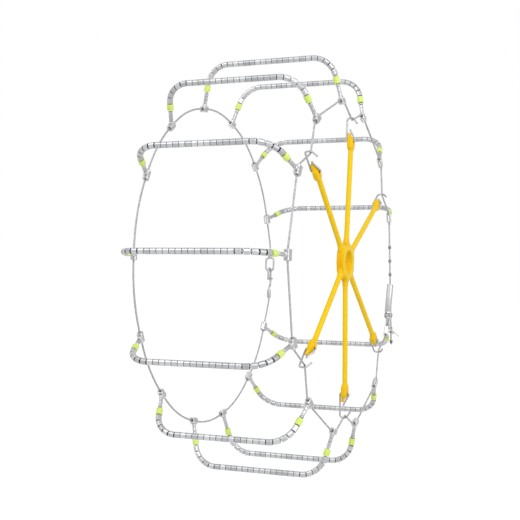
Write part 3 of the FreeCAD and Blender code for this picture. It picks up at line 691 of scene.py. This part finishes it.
lower_exit = at_station(angles[CLOSING_GAP], -side_y, side_radius) + tangent(angles[CLOSING_GAP]) * straight
lever_along = (pin_point - lower_exit).normalized()
bead_low, bead_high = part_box("cable_beads")
run_x = (bead_low.x + bead_high.x) / 2
corners, bends = [pin_point - lever_along * 13 * MM], []
arms = [hook_spot(number) for number in range(1, 7)]
hooks = iter(arms)
for index in (CLOSING_GAP - np.arange(len(angles))) % len(angles):
    for offset in (straight, -straight):
        corners.append(at_station(angles[index], -side_y, side_radius) + tangent(angles[index]) * offset)
        bends.append(9 * MM)
    if (index - 1) % len(angles) in HOOKED_GAPS:
        corners.append(next(hooks)[0])
        bends.append(6 * MM)
corners.append(Vector((run_x, -side_y, bead_low.z - 2 * MM)))
outer_line = line_of(corners, bends, 2.0 * MM)
rope(Heap(), outer_line, rope_radius, side_lay).make("outer_rope", rope_steel, "wire_rope", "net",
                                                     "outer_side_cable")
print("outer rope", len(outer_line), "rings")

# %% [markdown]
# ## The inner side cable
# Behind the tyre the rope is an open ring. It runs straight through each clamp and bends evenly
# between two of them, so a corner's bend follows from how far apart its clamps stand.

# %% The inner side cable
def ring_corner(angle, half_turn):
    return at_station(angle, side_y, side_radius / math.cos(half_turn))


def ring_bend(half_turn, straight_run):
    return side_radius - straight_run / math.tan(half_turn)


def turn_between(a, b):
    return (b - a) % (2 * math.pi)


wide_gap_angle = turn_between(angles[CLOSING_GAP], angles[CLOSING_GAP + 1])
closing_angle = angles[CLOSING_GAP] + wide_gap_angle / 2
quarter = wide_gap_angle / 4
middle, ahead = at_station(closing_angle, side_y, side_radius), tangent(closing_angle)
corners, bends = [middle + ahead * 33 * MM, ring_corner(closing_angle + quarter, quarter)], []
bends.append(ring_bend(quarter, 45.5 * MM))
for index in (CLOSING_GAP + np.arange(1, len(angles))) % len(angles):
    half = turn_between(angles[index], angles[(index + 1) % len(angles)]) / 2
    corners.append(ring_corner(angles[index] + half, half))
    bends.append(ring_bend(half, clamp_size.x / 2 + 1 * MM))
corners += [ring_corner(closing_angle - quarter, quarter), middle - ahead * 38 * MM]
bends.append(ring_bend(quarter, 49 * MM))
inner_line = line_of(corners, bends, 2.4 * MM)
rope(Heap(), inner_line, rope_radius, side_lay, 6).make("inner_rope", rope_steel, "wire_rope", "net",
                                                        "inner_side_cable")
print("inner rope", len(inner_line), "rings")

# %% [markdown]
# ## Cross cables
# Only the ends of a cross cable can be seen, between the clamp and the tread, so strands are laid
# there and a plain core is enough under the sleeves.

# %% Cross cables
crossing = Heap()
for angle in angles:
    corners = [wall_point(angle, -1, 3.8 * MM), at_station(angle, -corner_y, crown_radius),
               at_station(angle, corner_y, crown_radius), wall_point(angle, 1, 3.8 * MM)]
    core = line_of(corners, [shoulder_bend] * 2, 4 * MM)
    crossing.add(tube(core, cable_radius * 0.8, 10), run=np.zeros(len(core) * 10))
    for side in (-1, 1):
        end = line_of([wall_point(angle, side, 6 * MM), wall_point(angle, side, wall_straight)], [], 2 * MM)
        rope(crossing, end, cable_radius, 26 * MM)
crossing.make("cross_ropes", rope_steel, "wire_rope", "net", "cross_cables")
print("cross cable radius", cable_radius / MM, "mm")

# %% [markdown]
# ## Beads
# Stops are swaged on the straight run of the outer cable, one inch apart. The lever's slot catches
# behind one of them, so they set how tight the chain is closed. Their steel is painted much darker
# than the sleeves': painted shade and painted dark reflections.

# %% Beads
# Painted shade and reflection: the beads' steel gets dark colours in place of the dark surroundings they mirror.
bead_metal_painted_dark = turned_steel("bead_metal_painted_dark", (0.26, 0.262, 0.27, 1), (0.09, 0.092, 0.098, 1), 0.3, 3.2 * MM)
bead_length, bead_radius, bead_pitch = 6.4 * MM, 2.8 * MM, 25.4 * MM
bead_count = round((bead_high.z - bead_low.z - bead_length) / bead_pitch) + 1
bead_shape = turned(barrel(bead_length, bead_radius, rope_radius, 0.9 * MM,
                           [(0, 2.2 * MM, 0.18 * MM)]), shape=pressed)
beads = Heap()
for i in range(bead_count):
    beads.add(bead_shape, laid((run_x, -side_y, bead_low.z + bead_length / 2 + i * bead_pitch), (0, 0, 1),
                               (1, 0, 0), dice.random() * 6))
beads.make("stops", bead_metal_painted_dark, "sleeve_metal", "net", "cable_beads")
print(bead_count, "beads")

# %% [markdown]
# ## Clamps
# A clamp is a block of zinc cast round the side cable, with a neck for the ferrule. Its faces are
# pressed in twice, a ridge runs along its inner edge, and its mouths are belled so that the rope
# does not chafe. Sections along the side cable make the block: each is a square with round corners.

# %% Clamp shapes
def skin(rings, wear_and_painted_light=0.0, caps=False):
    """Surface through rings of points, all with the same number of points."""
    rings = np.array(rings)
    points = rings.reshape(-1, 3)
    return points, loops(len(rings), rings.shape[1], caps=caps), np.broadcast_to(wear_and_painted_light, len(points))


def oblong(half_wide, half_high, power, count, first=0.0):
    """(across, up) points of a closed curve: an ellipse at power 2, nearly a rectangle at power 8."""
    turn = (np.arange(count) + first) * 2 * math.pi / count
    wide = np.abs(np.cos(turn) / half_wide) ** power
    high = np.abs(np.sin(turn) / half_high) ** power
    radius = (wide + high) ** (-1 / power)
    return radius * np.cos(turn), radius * np.sin(turn)


def section(x, half_y, half_z, power, count=32):
    """Ring across the X axis."""
    return np.stack([np.full(count, x), *oblong(half_y, half_z, power, count, 0.5)], 1)


def clamp_block():
    half, ease = clamp_size / 2, 1.1 * MM
    rings, wear_and_painted_light = [], []
    for share in np.linspace(-1, 1, 29):
        x = half.x * math.copysign(1 - (1 - abs(share)) ** 1.5, share)
        inset = ease - math.sqrt(max(0.0, ease ** 2 - max(0.0, abs(x) - half.x + ease) ** 2))
        press = 0.5 * MM * math.exp(-((abs(x) - 3.1 * MM) / (1.1 * MM)) ** 2)
        ring = section(x, half.y - inset - press, half.z - inset, 8.0)
        rings.append(ring)
        corner = np.abs(ring[:, 1] * ring[:, 2]) / (half.y * half.z)
        # The corners are marked for rubbing and a painted highlight.
        wear_and_painted_light.append(np.clip(corner * 1.6 - 0.5 + inset / ease * 0.6, 0, 1))
    for x, radius in ((half.x, 2.5 * MM), (half.x - 0.9 * MM, 1.8 * MM)):
        rings = [section(-x, radius, radius, 2.0)] + rings + [section(x, radius, radius, 2.0)]
        wear_and_painted_light = [np.zeros(32)] + wear_and_painted_light + [np.zeros(32)]
    return skin(rings, np.concatenate(wear_and_painted_light))


def clamp_ridge():
    rings = []
    for share in np.linspace(-1, 1, 15):
        x = 5.8 * MM * math.sin(share * math.pi / 2)
        swell = math.sqrt(max(0.02, 1 - share ** 4))
        ring = section(x, 1.2 * MM * swell, 0.75 * MM * swell, 3.0, 16)
        rings.append(ring - np.array([0, 0, clamp_size.z / 2 - 0.15 * MM]))
    # The whole ridge is marked 1: rubbed, and painted with a highlight.
    return skin(rings, 1.0, caps=True)


neck_profile = [(4.4, 2.25, 0), (4.4, 4.3, 0), (5.3, 4.3, 0), (5.6, 3.98, 0), (6.1, 3.8, 0), (7.8, 3.8, 0.2),
                (8.25, 3.65, 1), (8.5, 3.2, 1), (8.5, 2.6, 0.3), (8.0, 2.25, 0)]
neck = turned([(z * MM, radius * MM, rub) for z, radius, rub in neck_profile])
print("clamp", [round(c / MM, 1) for c in clamp_size], "mm")

# %% [markdown]
# ## Zinc, and the clamps in place
# Cast zinc shows its crystals. A Voronoi texture gives the distance from the middle of each, noise
# clouds them with stain, and the corners, the ridge and the neck's rim, which the heap marks with 1,
# are painted bright: partly rubbing, partly a painted highlight.

# %% Zinc, and the clamps in place
zinc = Finish("clamp_metal")
tone, wear_and_painted_light = zinc.attributes("tone", "wear_and_painted_light")
crystal = zinc.node("TexVoronoi", {"Vector": zinc.place(), "Scale": 700.0})
cast, stain = zinc.noise(900.0, 5.0, None, 0.6), zinc.noise(110.0)
clean = zinc.mix(crystal * 0.5 + cast * 0.4 + tone * 0.2, (0.34, 0.345, 0.355, 1), (0.60, 0.60, 0.61, 1))
dusty = zinc.mix(zinc.ramp(stain, 0.5, 0.75, 0.0, 0.45), clean, (0.28, 0.275, 0.27, 1))
# Partly rubbed metal, partly a painted highlight on the marked corners, ridge and neck rims.
rubbed_and_highlit = zinc.ramp(wear_and_painted_light + cast * 0.5, 0.6, 1.3)
zinc.surface(zinc.mix(rubbed_and_highlit, dusty, (0.9, 0.9, 0.89, 1)),
             (cast + crystal * 0.3 - rubbed_and_highlit * 0.4, 0.0, 1.0, 0.22, 0.42),
             (cast + crystal * 0.4, 0.12 * MM, 0.45), METAL)
block, ridge = clamp_block(), clamp_ridge()
for side, word in SIDES:
    clamps = Heap()
    for angle in angles:
        tint = dice.random()
        place = laid(wall_point(angle, side, 0), wall_heading(angle, side), tangent(angle))
        for shape in (block, ridge, neck):
            clamps.add(shape, place, tone=tint)
    clamps.make(word + "_clamps", zinc, "clamp_metal", "net", word + "_cable_clamps")
print("clamps on two side cables:", 2 * len(angles))

# %% [markdown]
# ## Yellow rubber
# The tensioner is moulded in one piece. The rubber is smooth and a little waxy, and fine dust breaks
# the gloss. Its colour is painted deeper, toward orange, in the hollows as painted shade; the heap's
# mark is 1 where that painted shade is deepest.

# %% Yellow rubber
rubber = Finish("tensioner_rubber")
hollow_shade = rubber.attributes("wear_and_painted_light")[0]
cloud, grain = rubber.noise(55.0), rubber.noise(1900.0)
flow = rubber.noise(1.0, 3.0, rubber.stretched((160.0, 40.0, 160.0)))
yellow = rubber.mix(cloud * 0.6 + flow * 0.4, (0.96, 0.60, 0.004, 1), (1.0, 0.71, 0.014, 1))
# Painted shade: the yellow deepens toward orange where the heap's mark says a hollow lies.
shaded_yellow = rubber.mix(rubber.ramp(hollow_shade, 0.0, 1.0, 0.0, 0.9), yellow, (0.94, 0.485, 0.003, 1))
rubber.surface(shaded_yellow, (cloud * 0.7 + grain * 0.3, 0.25, 0.75, 0.36, 0.5),
               (grain * 0.5 + flow * 0.5, 0.12 * MM, 0.3), {"Specular IOR Level": 0.12})
print("the rubber has", len(rubber.tree.nodes), "nodes")

# %% [markdown]
# ## Working a rough shape
# Some shapes are easiest to cut or fuse with modifiers. A rough object gets the modifiers, and its
# points come back for a heap. The rubber is worked like that. Its arms lie in the plane of the
# wheel, so each has its own directions: along it, across it, and the wheel's axis.

# %% Working a rough shape
AXIS, hub_centre = np.array((0.0, 1.0, 0.0)), np.array(hub_point)


def arm_directions(along):
    return np.array(along), np.array(along.cross(Vector(AXIS)))


def worked(rough):
    """Points and faces of a rough object after its modifiers; the object is removed."""
    bpy.context.view_layer.update()
    ready = rough.evaluated_get(bpy.context.evaluated_depsgraph_get()).to_mesh()
    points = np.array([v.co[:] for v in ready.vertices])
    faces = [list(polygon.vertices) for polygon in ready.polygons]
    bpy.data.objects.remove(rough)
    return points, faces


print("hub's centre", [round(c, 3) for c in hub_centre])

# %% [markdown]
# ## Tensioner hub
# The hub is a thick ring whose rim runs out into six arms. To get the soft flares of a moulding, the
# ring and six tapered stubs are built apart, fused with a fine voxel remesh, and smoothed.

# %% Tensioner hub
hub_radius, hole_radius, hub_half = 30.5 * MM, 18.0 * MM, 6.6 * MM
ring_profile = []
for z_sign, r, ease, first in ((1, hub_radius, 1.8 * MM, 90), (-1, hub_radius, 1.8 * MM, 0),
                               (-1, hole_radius, 0.7 * MM, -90), (1, hole_radius, 0.7 * MM, -180)):
    centre_r = r - ease if r == hub_radius else r + ease
    for step in range(7):
        bearing = math.radians(first - 15 * step)
        ring_profile.append((z_sign * (hub_half - ease) + ease * math.sin(bearing),
                             centre_r + ease * math.cos(bearing), 0))
fused = Heap().add(turned(ring_profile, 96), laid(hub_point, (0, 1, 0), (1, 0, 0)))
ROOT_FORM = ((20.0, 11.5, 5.4), (28.0, 10.4, 5.3), (34.0, 7.6, 4.9), (40.0, 5.2, 4.3), (43.5, 4.7, 4.15),
             (46.0, 4.5, 4.1))          # distance from the hub's centre, half width, half thickness
root_end = ROOT_FORM[-1][0] * MM
for spot, along, reach in arms:
    heading, across = arm_directions(along)
    rings = []
    for d, half_wide, half_thick in ROOT_FORM:
        x, y = oblong(half_wide * MM, half_thick * MM, 2, 32)
        rings.append(hub_centre + heading * (d * MM) + across * x[:, None] + AXIS * y[:, None])
    fused.add(skin(rings, caps=True))
rough = fused.plain("rough")
remesh = rough.modifiers.new("remesh", "REMESH")
remesh.mode, remesh.voxel_size = "VOXEL", 0.7 * MM
smooth = rough.modifiers.new("smooth", "SMOOTH")
smooth.factor, smooth.iterations = 0.5, 4
points, faces = worked(rough)
print("hub", len(points), "points after the remesh")

# %% [markdown]
# ## The hub's rim and painted shades
# The rim between two arms is pinched to a saddle. The rubber is painted deeper, as shade, in the
# saddles, in the crotches where arms part, on the rim's side and inside the hole, so each of these is
# found from a point's bearing and its distance from the hub's centre.

# %% The hub's rim and painted shades
arm_width = math.radians(26)            # how far from an arm's middle its root is felt
from_hub = points - hub_centre
bearing, distance = np.arctan2(from_hub[:, 2], from_hub[:, 0]), np.hypot(from_hub[:, 0], from_hub[:, 2])
inside = np.ones(len(points))
for spot, along, reach in arms:
    off = np.abs((bearing - math.atan2(along.z, along.x) + math.pi) % (2 * math.pi) - math.pi)
    inside = np.minimum(inside, np.clip(off / arm_width, 0, 1))
outward = np.clip((distance - 24 * MM) / (6.5 * MM), 0, 1)
saddle = inside ** 2 * outward
from_hub[:, 1] *= 1 - 0.16 * saddle
points = hub_centre + from_hub
# Painted shade: bore, crotch, side_face and saddle mark where the colour is deepened toward orange.
bore = np.clip(1 - (distance - hole_radius) / (2 * MM), 0, 1)
crotch = np.clip(1 - abs(distance - hub_radius - 2 * MM) / (6 * MM), 0, 1) * inside
side_face = np.clip((distance - hub_radius + 2 * MM) / (1.5 * MM), 0, 1)
shade = np.clip(saddle * 0.35 + bore * 0.45 + crotch * 0.75 + side_face * 0.15, 0, 1)
Heap().add((points, faces, shade)).make("hub", rubber, "tensioner_rubber", "net", "tensioner_hub")
print("deepest shade on the hub", round(float(shade.max()), 2))

# %% [markdown]
# ## Arms
# An arm is a round strap that swells to a paddle for the fingers, with three soft ribs, and ends in a
# nub that leans toward the wheel. Rings across the arm make the surface. The hook's sizes are named
# here too, because the grip is placed by where the hook passes through it.

# %% The arm's form
grip_length = 31.0 * MM
grip_half = (9.0 * MM, 5.2 * MM)
arm_start = 41 * MM                                      # inside the hub's root, from its centre
nub_round = 1.2 * MM
hook_wire_radius = 1.5 * MM
hook_apex = rope_radius + hook_wire_radius + 0.9 * MM    # the hook's far bend, from the cable
hook_bottom = hook_apex - 41.0 * MM                      # its near end, where it passes through the grip
eyelet_place = 0.476 * grip_length
hook_offset, free_y = 8.4 * MM, -8.85 * MM               # the long leg and the free leg's foot, along Y
free_end = (hook_bottom + 21.5 * MM, 3.0 * MM)
# Rows of share of the length, half width, half thickness, shift toward the wheel in mm, and power.
GRIP_FORM = np.array([(-0.2, 0.5, 0.788, 0, 2), (0, 0.5, 0.788, 0, 2), (0.07, 0.76, 0.88, 0.1, 2.5),
                      (0.15, 0.95, 0.96, 0.2, 3.2), (0.32, 1.0, 1.0, 0.4, 3.6), (0.52, 0.98, 0.98, 0.4, 3.6),
                      (0.64, 0.87, 0.9, 0.7, 3.2), (0.71, 0.62, 0.76, 1.5, 2.8),
                      (0.78, 0.42, 0.58, 2.8, 2.5), (0.9, 0.37, 0.46, 3.7, 2.4), (1.0, 0.28, 0.36, 4.0, 2.3)])


def grip_row(d):
    """Half width, half thickness, shift and power, d from the grip's inner end."""
    wide, thick, shift, power = (
        sum(np.interp(d / grip_length + step, GRIP_FORM[:, 0], column) for step in (-0.02, 0.0, 0.02)) / 3
        for column in GRIP_FORM[:, 1:].T)
    return wide * grip_half[0], thick * grip_half[1], shift * MM, power


def ribbed(d):
    """1 where the grip is ribbed and 0 at its ends."""
    share = d / grip_length
    return np.clip((share - 0.14) / 0.12, 0, 1) * np.clip((0.76 - share) / 0.08, 0, 1)


def grooves(x, half_wide):
    """1 in the two grooves between the three ribs, x across the grip."""
    return sum(np.exp(-((x - place * half_wide) / (0.9 * MM)) ** 2) for place in (-0.4, 0.4))


def arm_surface(along, grip_start):
    """Rings from the hub's root to the nub, which is rounded over at its end."""
    heading, across = arm_directions(along)
    steps = np.concatenate([np.arange(arm_start - grip_start, -2 * MM, 4 * MM),
                            np.arange(-2, 30.4, 0.7) * MM, np.array([30.4, 30.75, 30.95]) * MM])
    rings = []
    for d in steps:
        wide, thick, shift, power = grip_row(d)
        x, y = oblong(wide, thick, power, 48)
        y -= np.sign(y) * 1.3 * MM * ribbed(d) * grooves(x, wide) * (np.abs(y) > 0.5 * thick)
        past = max(0.0, d - grip_length + nub_round) / nub_round
        shrink = math.sqrt(max(0.05, 1 - past ** 2))
        centre = hub_centre + heading * (grip_start + d) + AXIS * shift
        rings.append(centre + across * (x * shrink)[:, None] + AXIS * (y * shrink)[:, None])
    return skin(rings, caps=True)


print("grip", round(grip_length / MM, 1), "mm long, hook", round((hook_apex - hook_bottom) / MM, 1), "mm")

# %% [markdown]
# ## Arms in place
# Two rods cut each arm: one makes the eyelet, the other the channel for the free leg. The boolean
# leaves new points, so the painted shades are worked out from where each point lies along and across
# the arm. An arm stretches from the hub to its hook, so it is blended between their two bodies.

# %% Arms in place
def cut_out(shape, rods):
    """Points and faces of a shape from which rods, given as (start, end, radius), are cut."""
    rough = Heap().add(shape).plain("rough")
    cuts = [Heap().add(tube(np.array([start, end]), radius, 32)).plain("cut") for start, end, radius in rods]
    for cut in cuts:
        carve = rough.modifiers.new("carve", "BOOLEAN")
        carve.operation, carve.solver, carve.object = "DIFFERENCE", "EXACT", cut
    points, faces = worked(rough)
    for cut in cuts:
        bpy.data.objects.remove(cut)
    return points, faces


def arm_shade(points, along, grip_start):
    """Painted shade in the grooves and the eyelet, at the neck and, lightly, all over the paddle."""
    heading, across = arm_directions(along)
    local = points - hub_centre
    d, x, y = local @ heading - grip_start, local @ across, local[:, 1]
    wide, thick, shift, power = grip_row(d)
    # Painted shade: grooves and eyelet, then the neck and the paddle, are darkened toward orange.
    hollow_shade = ribbed(d) * grooves(x, wide) * (np.abs((y - shift) / thick) > 0.5)
    hollow_shade += np.exp(-((d - eyelet_place) ** 2 + x ** 2) / (2.9 * MM) ** 2)
    neck_in = np.exp(-((d - 0.5 * MM) / (2.2 * MM)) ** 2) * 0.35
    paddle = np.clip(d / (4 * MM), 0, 1) * 0.28
    return np.clip(hollow_shade * 0.9 + neck_in + paddle, 0, 1)


for number, (spot, along, reach) in enumerate(arms, start=1):
    grip_start = reach + hook_bottom - eyelet_place
    eye = np.array(spot + along * hook_bottom)
    foot, tip = eye + AXIS * free_y, np.array(spot + along * free_end[0]) + AXIS * free_end[1]
    rods = [(eye - AXIS * 20 * MM, eye + AXIS * 20 * MM, hook_wire_radius + 0.8 * MM),
            (foot, tip + (tip - foot) * 0.2, hook_wire_radius + 0.6 * MM)]
    points, faces = cut_out(arm_surface(along, grip_start), rods)
    arm = Heap().add((points, faces, arm_shade(points, along, grip_start))).make(
        "arm_%d" % number, rubber, "tensioner_rubber", None,
        "tensioner_strap_%d" % number, "tensioner_grip_%d" % number)
    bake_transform(arm, "net", "hook_%d" % number, hub_point + along * root_end, hub_point + along * grip_start)
print("each arm has about", len(points), "points")

# %% [markdown]
# ## Wire hooks
# Each hook is bent from spring wire. Its mouth takes the cable and flares out so that a
# gloved hand can slip the cable in; the other end passes through the grip and lies back over it.

# %% Wire hooks
hook_wire = Finish("hook_wire")
streak = hook_wire.noise(500.0, 4.0)
smear = hook_wire.noise(60.0, 2.0)
drawn = hook_wire.mix(streak * 0.7 + smear * 0.4, (0.30, 0.305, 0.315, 1), (0.54, 0.54, 0.55, 1))
hook_wire.surface(drawn, (streak + smear, 0.6, 1.4, 0.28, 0.45), (streak, 0.05 * MM, 0.3), METAL)


def round_ended(line, radius):
    """Tube along a line, with both ends rounded over."""
    rounding = np.radians((0, 30, 55, 75, 86))

    def cap(end, before):
        run = unit(end - before)
        return [end + run * radius * (math.sin(a) - 1) for a in rounding]

    narrowing = [radius * math.cos(a) for a in rounding]
    points = cap(line[0], line[1])[::-1] + list(line[1:-1]) + cap(line[-1], line[-2])
    radii = narrowing[::-1] + [radius] * (len(line) - 2) + narrowing
    return tube(np.array(points), np.array(radii), 16)


hook_form = [(hook_apex - 10.5 * MM, -9.4 * MM), (hook_apex, -2.3 * MM), (hook_apex, hook_offset),
             (hook_bottom, hook_offset), (hook_bottom, free_y), free_end]
for number, (spot, along, reach) in enumerate(arms, start=1):
    corners = [spot + along * d + Vector((0, y, 0)) for d, y in hook_form]
    wire = round_ended(line_of(corners, [4.8 * MM, 4.5 * MM, 4 * MM, 3 * MM], 0.8 * MM), hook_wire_radius)
    Heap().add(wire).make("hook_%d" % number, hook_wire, "hook_wire", "hook_%d" % number,
                          "cable_hook_%d" % number)
print("hooks of", round(2 * hook_wire_radius / MM, 1), "mm wire")

# %% [markdown]
# ## Lever, eye and inner fittings
# These pieces are folded, forged or bent, and their packed forms are already true. They only need
# what a press and a tumbling barrel leave: edges broken by a few tenths of a millimetre, and a
# finish with long scratches.

# %% Lever, eye and inner fittings
lever_steel = Finish("lever_steel")
brush = lever_steel.noise(1.0, 4.0, lever_steel.stretched((900.0, 900.0, 60.0)), 0.6)
film, speck = lever_steel.noise(70.0), lever_steel.noise(700.0)
brushed = lever_steel.mix(brush * 0.6 + film * 0.4, (0.36, 0.365, 0.375, 1), (0.58, 0.58, 0.585, 1))
lever_steel.surface(brushed, (brush + film * 0.5 + speck * 0.2, 0.5, 1.2, 0.34, 0.5),
                    (brush, 0.06 * MM, 0.3), METAL)
EDGES = {
    "lever_steel": (lever_steel, {"closing_lever": 0.35, "closing_eye": 0.4, "closing_pin": 0.3,
                                  "hook_gate": 0.2, "gate_pin": 0.15}),
    "hook_wire": (hook_wire, {"tail_keeper": 0.0, "inner_loop": 0.3, "inner_hook": 0.3})}
for slot, (finish, edges) in EDGES.items():
    for name, edge in edges.items():
        fitting = frame["nodes"][name]
        fitting.data.materials.clear()
        fitting.data.materials.append(finish.owner)
        weld = fitting.modifiers.new("weld", "WELD")
        weld.merge_threshold = 0.02 * MM
        if edge:
            bevel = fitting.modifiers.new("broken edges", "BEVEL")
            bevel.width, bevel.segments, bevel.limit_method = edge * MM, 2, "ANGLE"
            bevel.angle_limit = math.radians(35)
        fitting.data.shade_smooth()
print("edges broken by", [list(edges.values()) for finish, edges in EDGES.values()], "mm")

# %% [markdown]
# The imported model's box is printed. The dressed model has to keep the imported model's size.

print("packed ", [round(c, 4) for c in cad_low], [round(c, 4) for c in cad_high])
